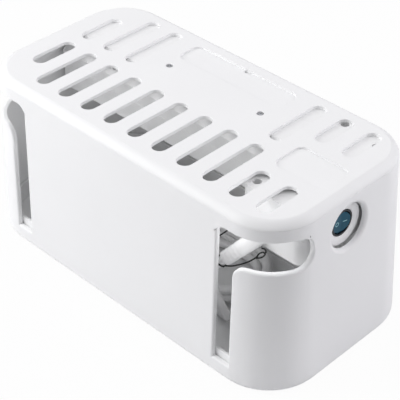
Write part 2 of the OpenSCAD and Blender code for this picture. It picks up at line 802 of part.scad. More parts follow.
// S-bends between two points: swing_x_run keeps its pace along X and swing_y_run along Y.
function ease(t) = t * t * (3 - 2 * t);
function swing_x_run(a, b, steps = 8) = [for (k = [0 : steps])
    let (t = k / steps)
    [a[0] + t * (b[0] - a[0]), a[1] + ease(t) * (b[1] - a[1]), a[2] + ease(t) * (b[2] - a[2])]];
function swing_y_run(a, b, steps = 8) = [for (k = [0 : steps])
    let (t = k / steps)
    [a[0] + ease(t) * (b[0] - a[0]), a[1] + t * (b[1] - a[1]), a[2] + ease(t) * (b[2] - a[2])]];

// From the lead to the switch.
module live_wire_in() {
    x = gland_x + 2.1;
    end_y = switch_y - terminal_y;
    near = [terminal_x - 5, end_y - 0.5, switch_z - 1.5];
    wire(concat([[x, wire_y, gland_z]],
                swing_y_run([x, wire_y + 4, gland_z], near, 5),
                [[terminal_x - 2, end_y, switch_z], [terminal_x, end_y, switch_z]]),
         "saddlebrown");
}
module live_wire_out() {
    wire(concat([[bar_end_right, live_y, live_z]],
                swing_x_run([swing_x, live_y, live_z], [terminal_x, switch_y, switch_z])), "black");
}
module neutral_wire() {
    x = gland_x - 1.1;
    z = gland_z + 1.8;
    wire(concat([[x, wire_y, z]],
                swing_y_run([x, wire_y + 6, z], [bar_end_right + 14, neutral_y - 2, neutral_z]),
                [[bar_end_right + 6, neutral_y, neutral_z], [bar_end_right, neutral_y, neutral_z]]),
         "royalblue");
}
module lamp_wire() {
    wire(concat([[bar_end_right, neutral_y, lamp_z]],
                swing_x_run([swing_x, neutral_y, lamp_z],
                            [terminal_x, switch_y + terminal_y, switch_z])),
         "royalblue");
}
module earth_wire() {
    x = gland_x - 1.1;
    z = gland_z - 1.8;
    turn = [bar_end_right + 22, bar_y0 + 14, low_z];
    end_x = socket_x[socket_n - 1] + earth_arm_x + leaf_t / 2;
    end_z = earth_z + leaf_t / 2;
    wire(concat([[x, wire_y, z]],
                swing_y_run([x, wire_y + 6, z], turn, 5),
                [for (k = [1 : 5]) swing_y_run(turn, [end_x + 4, socket_y - 3, end_z], 5)[k]],
                [[end_x + 2, socket_y, end_z], [end_x, socket_y, end_z]]), "yellowgreen");
}

// ---- Mains lead ----

// Places a part that is turned about Z on the gland's axis, running to the front from y.
module at_gland(y) { translate([gland_x, y, gland_z]) rotate([90, 0, 0]) children(); }

// The lead's end inside the strip.
module cord_sheath() {
    color("white") at_gland(sheath_y) cylinder(r = cord_r, h = sheath_y - block_y0 - shell_t);
}

// Block across the lead just inside the strip, held by two screws.
module cord_clamp() {
    w = 18;
    low = strip_z + shell_t;
    top = gland_z + cord_r + 2;
    color("white") difference() {
        translate([gland_x - w / 2, clamp_y, low]) cube([w, clamp_t, top - low]);
        at_gland(clamp_y + clamp_t + 1) cylinder(r = cord_r, h = clamp_t + 2);
        for (x = [-1, 1]) translate([gland_x + x * clamp_screw_x, clamp_y + clamp_t / 2, low - 1])
            cylinder(d = 2.6, h = top);
    }
}

module clamp_screws() {
    color("silver") for (x = [-1, 1])
        translate([gland_x + x * clamp_screw_x, clamp_y + clamp_t / 2, gland_z + cord_r + 2])
            screw(4.2, 1.4, 2.6, 9);
}

// Tapered sleeve that carries the lead out of the block's front and bends with it.
module cord_boot() {
    color("white") {
        tube_along(boot_points, boot_root_r, 12, boot_tip_r);
        at_gland(block_y0 + shell_t) cylinder(r = gland_r, h = shell_t);
    }
}

module cord_drop() {
    color("white") tube_along(cord_points, cord_r, 10);
}

module hank_outline(w, len, z0, h) {
    translate([hank_c[0], hank_c[1], z0]) rotate([0, 0, hank_angle]) {
        translate([-w / 2, -(len - w) / 2, 0]) cube([w, len - w, h]);
        for (s = [-1, 1]) translate([0, s * (len - w) / 2, 0]) cylinder(d = w, h = h);
    }
}

// Two runs of the lead laid up in columns and layers, with an open middle.
module cord_hank() {
    band = 2 * cord_d;
    color("white") difference() {
        hank_outline(hank_w, hank_len, rest_z, hank_h);
        hank_outline(hank_w - 2 * band, hank_len - 2 * band, rest_z - 1, hank_h + 2);
    }
}

module cord_tail() {
    color("white") tube_along(tail_points, cord_r, 10);
}

// A flat tie round the hank, with its twisted tail and a small loop along the top.
module twist_tie() {
    tie_w = 3;
    tie_t = 0.8;
    wire_d = 1.6;
    gap = 0.1;
    top_z = rest_z + hank_h + tie_t + gap + 0.6;
    color("black") translate([hank_c[0], hank_c[1], 0]) rotate([0, 0, hank_angle]) {
        translate([0, -12, 0]) difference() {
            translate([-hank_w / 2 - tie_t - gap, 0, rest_z - 0.2])
                cube([hank_w + 2 * (tie_t + gap), tie_w, hank_h + 0.2 + tie_t + gap]);
            translate([-hank_w / 2 - gap, -1, rest_z]) cube([hank_w + 2 * gap, tie_w + 2, hank_h + gap]);
        }
        translate([-6, -10.5, top_z]) rotate([-90, 0, 0]) cylinder(d = wire_d, h = 36);
        translate([-6, 28.5, top_z]) rotate_extrude() translate([3.6, 0]) circle(d = wire_d);
    }
}

// Places a part that is turned about Z on the plug's axis, a distance behind its face.
module at_plug(back = 0) { translate([plug_face_x + back, plug_y, plug_z]) rotate([0, 90, 0]) children(); }

module plug_body() {
    r = plug_d / 2;
    flat_d = 3;
    color("white") difference() {
        at_plug() rotate_extrude() polygon([[0, 0], [r - 1, 0], [r, 1], [r, 16], [r - 4, 22], [12, 38],
            [10.5, plug_len], [0, plug_len]]);
        // flats that hold the side earth contacts
        for (s = [-1, 1]) translate([plug_face_x - 1, plug_y + s * r - flat_d / 2, plug_z - 3])
            cube([14, flat_d, 6]);
        for (y = [-1, 1]) translate([0, y * pin_pitch / 2, 0])
            at_plug(-1) cylinder(d = pin_d, h = pin_root + 1);
        at_plug(plug_len - plug_grip_len) cylinder(d = plug_grip_d, h = plug_grip_len + 1);
    }
}

module plug_pins() {
    earth_t = 1.2;
    color("silver") {
        for (y = [-1, 1]) translate([0, y * pin_pitch / 2, 0]) {
            at_plug(1 - pin_len) cylinder(d = pin_d, h = pin_len - 1 + pin_root);
            at_plug(-pin_len) cylinder(d1 = 3, d2 = pin_d, h = 1 + eps);
        }
        for (s = [-1, 1])
            translate([plug_face_x + 0.2, plug_y + s * (plug_d / 2 - 0.75) - earth_t / 2, plug_z - 2])
                cube([12, earth_t, 4]);
    }
}

// Tapered sleeve at the back of the plug.
module plug_boot() {
    back = plug_len - plug_grip_len;
    run = tail_points[0][0] - plug_face_x - plug_len;
    color("white") {
        at_plug(back) cylinder(d = plug_grip_d, h = plug_grip_len);
        at_plug(plug_len) cylinder(d1 = 15, d2 = cord_d + 2, h = run);
    }
}

box_shell();
base_tray();
feet();
lid();
lid_screws();
strip_top_shell();
strip_bottom_shell();
strip_screws();
for (i = [0 : socket_n - 1]) {
    socket_well(i);
    shutter(i);
    shutter_spring(i);
}
live_busbar();
neutral_busbar();
earth_busbar();
switch_collar();
switch_bezel();
switch_housing();
switch_terminals();
rocker();
rocker_plunger();
live_wire_in();
live_wire_out();
neutral_wire();
lamp_wire();
earth_wire();
cord_sheath();
cord_clamp();
clamp_screws();
cord_boot();
cord_drop();
cord_hank();
cord_tail();
twist_tie();
plug_body();
plug_pins();
plug_boot();
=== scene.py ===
"""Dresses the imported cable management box: fine edges, finishes, the mains lead, lights and camera."""
import json
import math

import bmesh
import bpy
from mathutils import Matrix, Vector


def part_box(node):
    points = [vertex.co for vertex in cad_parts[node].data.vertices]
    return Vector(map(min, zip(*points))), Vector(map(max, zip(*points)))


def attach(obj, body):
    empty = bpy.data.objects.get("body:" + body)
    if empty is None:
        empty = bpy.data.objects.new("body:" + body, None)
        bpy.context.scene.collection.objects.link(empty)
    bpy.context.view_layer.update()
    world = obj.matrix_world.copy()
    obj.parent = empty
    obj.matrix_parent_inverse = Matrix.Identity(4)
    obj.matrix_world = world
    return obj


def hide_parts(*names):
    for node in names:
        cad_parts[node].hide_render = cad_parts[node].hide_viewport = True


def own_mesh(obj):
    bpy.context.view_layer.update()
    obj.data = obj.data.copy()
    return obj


MM = 0.001
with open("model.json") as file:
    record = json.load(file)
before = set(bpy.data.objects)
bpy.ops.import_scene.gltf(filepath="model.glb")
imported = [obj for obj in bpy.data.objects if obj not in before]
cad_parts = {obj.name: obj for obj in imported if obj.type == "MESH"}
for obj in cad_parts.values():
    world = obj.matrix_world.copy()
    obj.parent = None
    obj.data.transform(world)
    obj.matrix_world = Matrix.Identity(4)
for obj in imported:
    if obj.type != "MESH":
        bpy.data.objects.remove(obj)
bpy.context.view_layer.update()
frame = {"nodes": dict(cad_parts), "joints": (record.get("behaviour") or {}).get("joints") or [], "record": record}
scene = bpy.context.scene

# ---- Camera ----

CAMERA_AT = (0.5912, -0.5771, 0.6864)
CAMERA_TURN = math.radians(45.25)
CAMERA_TILT = math.radians(52.74)
CAMERA_ROLL = math.radians(-0.58)
CAMERA_LENS = 119.98


def add_camera():
    """A long lens that looks down on the right front corner."""
    data = bpy.data.cameras.new("camera")
    data.lens = CAMERA_LENS
    data.sensor_width = 36
    data.clip_start = 0.05
    data.clip_end = 20
    camera = bpy.data.objects.new("camera", data)
    scene.collection.objects.link(camera)
    turn = Matrix.Rotation(CAMERA_TURN, 4, "Z")
    tilt = Matrix.Rotation(CAMERA_TILT, 4, "X")
    roll = Matrix.Rotation(CAMERA_ROLL, 4, "Z")
    camera.matrix_world = Matrix.Translation(CAMERA_AT) @ turn @ tilt @ roll
    scene.camera = camera


# ---- Node materials ----

def new_material(name, colour, roughness, **inputs):
    """A Principled material. Every input that is the same all over sits on the shader itself."""
    material = bpy.data.materials.new(name)
    material.use_nodes = True
    shader = material.node_tree.nodes["Principled BSDF"]
    shader.inputs["Base Color"].default_value = (*colour, 1)
    shader.inputs["Roughness"].default_value = roughness
    for key, value in inputs.items():
        shader.inputs[key.replace("_", " ").title().replace("Ior", "IOR")].default_value = value
    return material, shader


def noise(material, scale, detail=3.0, roughness=0.5, stretch=(1, 1, 1)):
    """Noise in the object's own metres, so that it stays the same size everywhere."""
    nodes, links = material.node_tree.nodes, material.node_tree.links
    where = nodes.new("ShaderNodeTexCoord")
    mapping = nodes.new("ShaderNodeMapping")
    mapping.inputs["Scale"].default_value = stretch
    node = nodes.new("ShaderNodeTexNoise")
    node.inputs["Scale"].default_value = scale
    node.inputs["Detail"].default_value = detail
    node.inputs["Roughness"].default_value = roughness
    links.new(where.outputs["Object"], mapping.inputs["Vector"])
    links.new(mapping.outputs["Vector"], node.inputs["Vector"])
    return node.outputs["Fac"]


def spread(material, source, low, high, start=0.3, end=0.7):
    """Maps a factor between start and end to a range of values."""
    node = material.node_tree.nodes.new("ShaderNodeMapRange")
    node.inputs["From Min"].default_value = start
    node.inputs["From Max"].default_value = end
    node.inputs["To Min"].default_value = low
    node.inputs["To Max"].default_value = high
    material.node_tree.links.new(source, node.inputs["Value"])
    return node.outputs["Result"]


# A Mix node's sockets have the same name for each kind of value. These are the colours' places.
MIX_FACTOR, MIX_FIRST, MIX_SECOND, MIX_RESULT = 0, 6, 7, 2


def tint(material, source, low, high):
    """Mixes two colours by a factor."""
    node = material.node_tree.nodes.new("ShaderNodeMix")
    node.data_type = "RGBA"
    node.inputs[MIX_FIRST].default_value = (*low, 1)
    node.inputs[MIX_SECOND].default_value = (*high, 1)
    material.node_tree.links.new(source, node.inputs[MIX_FACTOR])
    return node.outputs[MIX_RESULT]


def bump(material, shader, height, strength, distance):
    """Raises the surface by a height map, distance metres at most."""
    node = material.node_tree.nodes.new("ShaderNodeBump")
    node.inputs["Strength"].default_value = strength
    node.inputs["Distance"].default_value = distance
    material.node_tree.links.new(height, node.inputs["Height"])
    material.node_tree.links.new(node.outputs["Normal"], shader.inputs["Normal"])


def shades(colour, shift):
    """A darker and a lighter shade of a colour."""
    dark = tuple(max(0.0, c * (1 - shift)) for c in colour)
    light = tuple(min(1.0, c * (1 + shift)) for c in colour)
    return dark, light


def moulded(name, colour, roughness, grain=2600.0, depth=0.00003, shift=0.014, **inputs):
    """Moulded plastic: a fine spark-eroded grain, slow changes of tone and of gloss."""
    material, shader = new_material(name, colour, roughness, **{"ior": 1.46, **inputs})
    link = material.node_tree.links.new
    tone = noise(material, scale=14.0, detail=2.0)
    link(tint(material, tone, *shades(colour, shift)), shader.inputs["Base Color"])
    wear = noise(material, scale=55.0, detail=4.0)
    link(spread(material, wear, roughness - 0.05, roughness + 0.05), shader.inputs["Roughness"])
    pits = noise(material, grain, detail=2.0, roughness=0.6)
    bump(material, shader, pits, strength=0.25, distance=depth)
    return material


def plated(name, colour, roughness, stretch=(1, 1, 1), grain=900.0, shift=0.10):
    """Metal with fine drawn or tumbled marks and a little tarnish."""
    material, shader = new_material(name, colour, roughness, metallic=1.0)
    link = material.node_tree.links.new
    tarnish = noise(material, scale=130.0)
    link(tint(material, tarnish, *shades(colour, shift)), shader.inputs["Base Color"])
    marks = noise(material, grain, detail=4.0, roughness=0.65, stretch=stretch)
    link(spread(material, marks, roughness - 0.08, roughness + 0.14), shader.inputs["Roughness"])
    bump(material, shader, marks, strength=0.2, distance=0.00002)
    return material


STRIPE_SCALE = 90.0


def striped(name, first, second, roughness):
    """Two-colour insulation: the second colour winds round the wire in slanting bands."""
    material, shader = new_material(name, first, roughness, ior=1.5)
    nodes, link = material.node_tree.nodes, material.node_tree.links.new
    where = nodes.new("ShaderNodeTexCoord")
    wave = nodes.new("ShaderNodeTexWave")
    wave.bands_direction = "DIAGONAL"
    wave.inputs["Scale"].default_value = STRIPE_SCALE
    link(where.outputs["Object"], wave.inputs["Vector"])
    band = spread(material, wave.outputs["Fac"], 0.0, 1.0, start=0.47, end=0.53)
    link(tint(material, band, first, second), shader.inputs["Base Color"])
    bump(material, shader, noise(material, scale=1800.0), strength=0.2, distance=0.00002)
    return material


WHITE = (0.912, 0.915, 0.92)
STRIP_WHITE = (0.9, 0.902, 0.905)

finishes = {
    "white_plastic": moulded("white_plastic_fine", WHITE, 0.42),
    "strip_white": moulded("strip_white_fine", STRIP_WHITE, 0.38),
    "well_white": moulded("well_white_fine", (0.88, 0.88, 0.88), 0.22, grain=1500.0, depth=0.00001),
    "shutter_grey": moulded("shutter_grey_fine", (0.55, 0.55, 0.56), 0.4),
    "foot_rubber": moulded("foot_rubber_fine", (0.045, 0.045, 0.048), 0.75, grain=1400.0, depth=0.00012),
    "screw_steel": plated("screw_steel_fine", (0.62, 0.63, 0.65), 0.3),
    "spring_steel": plated("spring_steel_fine", (0.58, 0.57, 0.56), 0.22, grain=2400.0),
    "contact_brass": plated("contact_brass_fine", (0.8, 0.58, 0.26), 0.3, stretch=(0.08, 1, 1)),
    "bezel_black": moulded("bezel_black_fine", (0.006, 0.009, 0.014), 0.16, grain=900.0, depth=0.00001),
    "housing_black": moulded("housing_black_fine", (0.025, 0.025, 0.026), 0.5),
    "rocker_blue": moulded("rocker_blue_fine", (0.012, 0.12, 0.195), 0.14, grain=700.0, depth=0.00002,
                           shift=0.35, transmission_weight=0.25, ior=1.33),
    "wire_brown": moulded("wire_brown_fine", (0.19, 0.07, 0.025), 0.35),
    "wire_black": moulded("wire_black_fine", (0.02, 0.02, 0.02), 0.35),
    "wire_blue": moulded("wire_blue_fine", (0.03, 0.12, 0.5), 0.35),
    "wire_green_yellow": striped("wire_green_yellow_fine", (0.1, 0.42, 0.06), (0.8, 0.66, 0.03), 0.35),
    "cord_white": moulded("cord_white_fine", (0.87, 0.87, 0.875), 0.36, grain=1900.0, depth=0.00005),
    "tie_black": moulded("tie_black_fine", (0.016, 0.018, 0.016), 0.42, grain=1700.0),
    "pin_nickel": plated("pin_nickel_fine", (0.72, 0.71, 0.68), 0.16, stretch=(0.1, 1, 1)),
}
mark_ink = moulded("mark_ink", (0.3, 0.58, 0.63), 0.3, grain=1200.0)

slot_of = {row["node"]: row["material_slot"] for row in frame["record"]["subparts"]}
body_of = {node: body for body, nodes in frame["record"]["behaviour"]["bodies"].items() for node in nodes}
joint_of = {joint["name"]: joint for joint in frame["joints"]}


# ---- Refined pieces ----

MERGE_WITHIN = 0.01 * MM
WIDTH_SHARE = 5  # a node's bevel width is this many times its usual radius, and weights scale it
FLAT_ANGLE = math.radians(1.0)
SHARP_ANGLE = math.radians(28)
SMOOTH_ANGLE = math.radians(40)


def link_piece(name, mesh, slot):
    """A new piece with the finish of a material slot."""
    piece = bpy.data.objects.new(name, mesh)
    scene.collection.objects.link(piece)
    mesh.materials.clear()
    mesh.materials.append(finishes[slot])
    return piece


def finish_surface(piece):
    """Applies the modifiers, shades smooth and keeps true corners sharp."""
    graph = bpy.context.evaluated_depsgraph_get()
    mesh = bpy.data.meshes.new_from_object(piece.evaluated_get(graph))
    piece.modifiers.clear()
    piece.data = mesh
    mesh.shade_smooth()
    mesh.set_sharp_from_angle(angle=SMOOTH_ANGLE)
    weighted = piece.modifiers.new("normals", "WEIGHTED_NORMAL")
    weighted.keep_sharp = True


def refined(node, radius, widths=None, segments=3):
    """A copy of a CAD node whose sharp edges are rounded. widths gives the radius at an edge's
    middle where it differs from the usual one."""
    mesh = frame["nodes"][node].data.copy()
    mesh.name = node + "_fine"
    form = bmesh.new()
    form.from_mesh(mesh)
    bmesh.ops.remove_doubles(form, verts=form.verts, dist=MERGE_WITHIN)
    bmesh.ops.dissolve_limit(form, angle_limit=FLAT_ANGLE, verts=form.verts, edges=form.edges)
    weight = form.edges.layers.float.new("bevel_weight_edge")
    full_width = radius * WIDTH_SHARE
    for edge in form.edges:
        if len(edge.link_faces) == 2 and edge.calc_face_angle(0.0) > SHARP_ANGLE:
            middle = (edge.verts[0].co + edge.verts[1].co) / 2
            own = widths(middle) if widths else None
            edge[weight] = (radius if own is None else own) / full_width
    form.to_mesh(mesh)
    form.free()
    piece = link_piece(node + "_fine", mesh, slot_of[node])
    bevel = piece.modifiers.new("edges", "BEVEL")
    bevel.limit_method = "WEIGHT"
    bevel.width = full_width
    bevel.segments = segments
    bevel.use_clamp_overlap = False
    finish_surface(piece)
    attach(piece, body_of[node])
    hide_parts(node)
    return piece


CORNER_R = 39 * MM
FLARE = 6 * MM
SEAM_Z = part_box("box_shell")[1][2]
SEAM_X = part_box("lid")[1][0]
SEAM_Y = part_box("lid")[1][1]
LID_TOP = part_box("lid")[1][2]
SWITCH_Y, SWITCH_Z = ((low + high) / 2 for low, high in list(zip(*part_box("switch_bezel")))[1:])
SHELL_ROUND = 0.5 * MM
SHELL_SEGMENTS = 4
ON_WALL = 0.3 * MM
WINDOW_ROUND = 1.7 * MM
MOUTH_TOP_ROUND = 0.15 * MM
HOLE_ROUND = 3.4 * MM
HOLE_REACH = 19 * MM
WINDOW_TOP = SEAM_Z - 6 * MM
MOUTH_TOP_LOW = SEAM_Z - 13 * MM
MOUTH_END = (-54 * MM, -45 * MM)  # y range of the right mouth's end
WINDOW_LOW = 13 * MM


def stands_off_wall(p):
    """How far a point lies outside the box's outer wall."""
    radius = CORNER_R + FLARE * (SEAM_Z - p.z) / SEAM_Z
    across = max(abs(p.x) - (SEAM_X - CORNER_R), 0.0)
    along = max(abs(p.y) - (SEAM_Y - CORNER_R), 0.0)
    return math.hypot(across, along) - radius


def shell_widths(p):
    """The rims of the cable windows and of the switch's opening are rounded more on the outside.
    They are crisp near the top of the mouth, where the lid's edge lies close."""
    if abs(stands_off_wall(p)) > ON_WALL:
        return None
    if p.x > 0 and math.hypot(p.y - SWITCH_Y, p.z - SWITCH_Z) < HOLE_REACH:
        return HOLE_ROUND
    at_mouth_end = p.x > 0 and MOUTH_END[0] < p.y < MOUTH_END[1]
    if MOUTH_TOP_LOW < p.z < WINDOW_TOP or (p.z > WINDOW_TOP and at_mouth_end):
        return MOUTH_TOP_ROUND
    if WINDOW_LOW < p.z < MOUTH_TOP_LOW:
        return WINDOW_ROUND
    return None


LID_ROUND = 0.45 * MM
POCKET_ROUND = 0.3 * MM
POCKET_LOW = LID_TOP - 1.6 * MM
# Each pocket's lowest and highest x, then its lowest and highest y.
LONG_POCKET = (-54 * MM, 54 * MM, SEAM_Y - 40 * MM, SEAM_Y - 14 * MM)
END_POCKET = (SEAM_X - 61 * MM, SEAM_X - 12 * MM, -17 * MM, 16 * MM)


def lid_widths(p):
    """The shallow pockets have finer edges than the vent slots."""
    if p.z < POCKET_LOW:
        return None
    for x0, x1, y0, y1 in (LONG_POCKET, END_POCKET):
        if x0 < p.x < x1 and y0 < p.y < y1:
            return POCKET_ROUND
    return None


# The usual radius of the other rounded pieces' edges.
EDGE_ROUNDS = {
    0.5 * MM: ("base_tray", "strip_bottom_shell"),
    0.4 * MM: ("feet", "switch_collar", "plug_body"),
    0.3 * MM: ("strip_top_shell",),
    0.25 * MM: ("switch_bezel", "rocker"),
    0.15 * MM: ("cord_clamp", "switch_housing"),
}


def dress_nodes():
    """Rounds the edges of the pieces and gives every CAD node its finish. Gives the piece that
    is seen for each node."""
    seen = dict(frame["nodes"])
    for node, piece in frame["nodes"].items():
        piece.data.materials.clear()
        piece.data.materials.append(finishes[slot_of[node]])
    seen["box_shell"] = refined("box_shell", SHELL_ROUND, shell_widths, SHELL_SEGMENTS)
    seen["lid"] = refined("lid", LID_ROUND, lid_widths)
    for radius, names in EDGE_ROUNDS.items():
        for node in names:
            seen[node] = refined(node, radius)
    return seen


# ---- Swept pieces and the lead ----

def through(points, step):
    """A smooth line through points, given in millimetres, as points in metres a step apart."""
    p = [Vector(q) for q in points]
    p = [2 * p[0] - p[1]] + p + [2 * p[-1] - p[-2]]
    line = []
    for a, b, c, d in zip(p, p[1:], p[2:], p[3:]):
        count = max(1, round((c - b).length / step))
        for k in range(count):
            t = k / count
            line.append(0.5 * (2 * b + (c - a) * t + (2 * a - 5 * b + 4 * c - d) * t * t
                               + (3 * b - a - 3 * c + d) * t ** 3) * MM)
    line.append(p[-2] * MM)
    return line


def sweep(name, line, radius_at, slot, sides):
    """A closed round tube along a line. radius_at gives its radius at each share of the line."""
    form = bmesh.new()
    n = len(line)
    spoke = None
    rings = []
    for i, centre in enumerate(line):
        way = (line[min(i + 1, n - 1)] - line[max(i - 1, 0)]).normalized()
        if spoke is None:
            spoke = way.orthogonal()
        spoke = (spoke - spoke.dot(way) * way).normalized()
        side = way.cross(spoke)
        r = radius_at(i / (n - 1))
        rings.append([form.verts.new(centre + r * (math.cos(a) * spoke + math.sin(a) * side))
                      for a in (math.tau * k / sides for k in range(sides))])
    for low, high in zip(rings, rings[1:]):
        for k in range(sides):
            form.faces.new((low[k], low[(k + 1) % sides], high[(k + 1) % sides], high[k]))
    form.faces.new(reversed(rings[0]))
    form.faces.new(rings[-1])
    mesh = bpy.data.meshes.new(name)
    form.to_mesh(mesh)
    form.free()
    mesh.shade_smooth()
    mesh.set_sharp_from_angle(angle=SMOOTH_ANGLE)
    return link_piece(name, mesh, slot)


# The lead's route in millimetres, as its solids have it.
BOOT_POINTS = [
    (109.7, -41, 107.7), (109.4, -45.4, 107.4), (108.7, -49.8, 106.6), (107.6, -53.8, 105.3),
    (106, -57.6, 103.5), (104.1, -60.9, 101.2), (101.8, -63.7, 98.6), (99.3, -65.9, 95.6),
]
CORD_POINTS = [
    (99.3, -65.9, 95.6), (94.3, -68.3, 89.6), (89.7, -68.4, 82.8), (86.6, -67.2, 75.2),
    (85.8, -65.5, 67.2), (87.1, -64, 59.2), (89.7, -63, 51.5), (91.4, -60.8, 43.7),
    (91.5, -57.5, 36.1), (89.9, -53.5, 29.1), (86.6, -49.2, 23), (81.7, -45.1, 17.8),
    (75.4, -41.5, 13.8), (68.2, -38.8, 10.9), (60.4, -36.9, 9.1), (52.2, -35.8, 8.1),
    (44, -35.5, 7.8),
]
TAIL_POINTS = [
    (-40, -48, 22.8), (-32, -47.4, 22.2), (-22, -45, 21.7), (-12, -41.7, 21.5),
    (-2, -38.4, 21.5), (6, -36.3, 21.6), (14, -35.5, 21.8),
]
CORD_D = 7.0
LINE_STEP = 2.5
HANK_STEPS = 110  # points in each turn


def blend_share(u, start, end):
    """Rises smoothly from 0 to 1 between start and end."""
    t = min(1.0, max(0.0, (u - start) / (end - start)))
    return t * t * (3 - 2 * t)


# Where each turn's strand shifts to the next place in the hank, in turns: in, up, out and up.
SHIFT_IN = (0.76, 0.96)
SHIFT_UP = (1.56, 1.68)
SHIFT_OUT = (2.27, 2.47)
SHIFT_TOP = (3.15, 3.26)


def hank_line():
    """The turns of the hank, which fill its solid's outer column, then its inner and outer ones
    above each other. They start at the right end of the front run."""
    low, high = (Vector(c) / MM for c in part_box("cord_hank"))
    r_out = (high.y - low.y - CORD_D) / 2
    r_in = r_out - CORD_D
    mid_y = (low.y + high.y) / 2
    left, right = low.x + r_out + CORD_D / 2, high.x - r_out - CORD_D / 2
    run = right - left
    share = run / (2 * run + math.pi * (r_out + r_in))
    last = 4 + share * (right - TAIL_POINTS[-1][0]) / run
    count = round(HANK_STEPS * last)
    line = []
    for k in range(1, count):
        u = last * k / count
        out = 1 - blend_share(u, *SHIFT_IN) + blend_share(u, *SHIFT_OUT)
        r = r_in + (r_out - r_in) * out
        layer = blend_share(u, *SHIFT_UP) + blend_share(u, *SHIFT_TOP)
        half, f = divmod(u % 1, 0.5)
        side = 1 - 2 * half
        if f < share:
            x = side * run * (0.5 - f / share) + (left + right) / 2
            y = mid_y - side * r
        else:
            a = math.pi * (f - share) / (0.5 - share)
            x = (left if side > 0 else right) - side * r * math.sin(a)
            y = mid_y - side * r * math.cos(a)
        line.append(Vector((x, y, low.z + CORD_D / 2 + CORD_D * layer)) * MM)
    return line


def add_lead():
    """The mains lead as one curve from its boot through the hank to the plug."""
    tail = through(list(reversed(TAIL_POINTS)), LINE_STEP)
    line = through(CORD_POINTS, LINE_STEP) + hank_line() + tail
    data = bpy.data.curves.new("mains_lead", "CURVE")
    data.dimensions = "3D"
    data.bevel_depth = CORD_D / 2 * MM
    data.bevel_resolution = 5
    data.use_fill_caps = True
    spline = data.splines.new("POLY")
    spline.points.add(len(line) - 1)
    for point, place in zip(spline.points, line):
        point.co = (*place, 1)
    lead = bpy.data.objects.new("mains_lead", data)
    scene.collection.objects.link(lead)
    data.materials.append(finishes["cord_white"])
    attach(lead, "lid_and_strip")
    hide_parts("cord_drop", "cord_hank", "cord_tail")
    return lead


# The boot's sizes in millimetres. Its grooves and its lip start at a share of its length.
BOOT_ROOT_R = 6.3
BOOT_TIP_R = 5.5
BOOT_RINGS = 5
GROOVE_FROM = 0.6
GROOVE_DEPTH = 0.2
BOOT_LIP_FROM = 0.98
BOOT_LIP = 0.5
BOOT_STEP = 0.35
BOOT_SIDES = 40


def add_boot():
    """Tapered sleeve: smooth at the block, with shallow flexing grooves towards its tip."""
    def radius(share):
        r = BOOT_ROOT_R + (BOOT_TIP_R - BOOT_ROOT_R) * share
        if share > GROOVE_FROM:
            turns = BOOT_RINGS * (share - GROOVE_FROM) / (1 - GROOVE_FROM)
            r -= GROOVE_DEPTH * (1 - math.cos(math.tau * turns)) / 2
        if share > BOOT_LIP_FROM:
            r -= BOOT_LIP
        return r * MM

    boot = sweep("cord_boot_fine", through(BOOT_POINTS, BOOT_STEP), radius, "cord_white", BOOT_SIDES)
    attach(boot, "lid_and_strip")
    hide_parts("cord_boot")
    return boot


# The twist ties' sizes in millimetres.
TIE_WIRE_R = 0.6
TIE_SIDES = 12
TIE_LOOP_R = 3.5
TIE_TURN_STEPS = 12  # points in each turn or loop
HANK_TIE_X = 18.5
HANK_TIE_FOOT = 0.4  # from the hank's underside to the turn's two ends
HANK_TIE_FLAT = 15  # half of the turn's straight stretch over the hank
HANK_TIE_ROUND = 2.5
HANK_TIE_STEP = 0.6
# The twisted end lies this far above the turn. Its points and its loop's start give the distance
# from the turn along x and from the hank's middle along y.
HANK_END_UP = 0.7
HANK_END_POINTS = ((0, -5), (-12, -7), (-24, -6))
HANK_END_LOOP = (-34, -6)


def sweep_tie(name, points, step):
    """A length of the black twist tie's wire, which rides with the lead."""
    piece = sweep(name, through(points, step), lambda share: TIE_WIRE_R * MM, "tie_black", TIE_SIDES)
    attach(piece, "lid_and_strip")
    return piece


def add_hank_tie():
    """Twist tie round the hank: one turn that hugs the strands, and a twisted end with a loop."""
    low, high = (Vector(c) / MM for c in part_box("cord_hank"))
    y0, y1 = low.y - TIE_WIRE_R, high.y + TIE_WIRE_R
    z0, z1 = low.z + HANK_TIE_FOOT, high.z + TIE_WIRE_R
    mid_y, mid_z = (y0 + y1) / 2, (z0 + z1) / 2
    turn = [(y0, z0), (y0, mid_z), (y0, z1 - HANK_TIE_ROUND), (y0 + HANK_TIE_ROUND, z1),
            (mid_y - HANK_TIE_FLAT, z1), (mid_y, z1), (mid_y + HANK_TIE_FLAT, z1),
            (y1 - HANK_TIE_ROUND, z1), (y1, z1 - HANK_TIE_ROUND), (y1, mid_z), (y1, z0)]
    end_z = z1 + HANK_END_UP
    end = [(HANK_TIE_X + x, mid_y + y, end_z) for x, y in HANK_END_POINTS]
    loop_x, loop_y = HANK_TIE_X + HANK_END_LOOP[0], mid_y + HANK_END_LOOP[1] + TIE_LOOP_R
    for k in range(TIE_TURN_STEPS + 1):
        a = -math.tau * k / TIE_TURN_STEPS
        end.append((loop_x + TIE_LOOP_R * math.sin(a), loop_y - TIE_LOOP_R * math.cos(a), end_z))
    pieces = [sweep_tie("hank_tie_turn", [(HANK_TIE_X, *p) for p in turn], HANK_TIE_STEP),
              sweep_tie("hank_tie_end", end, HANK_TIE_STEP)]
    for piece in pieces:
        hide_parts("twist_tie")
    return pieces


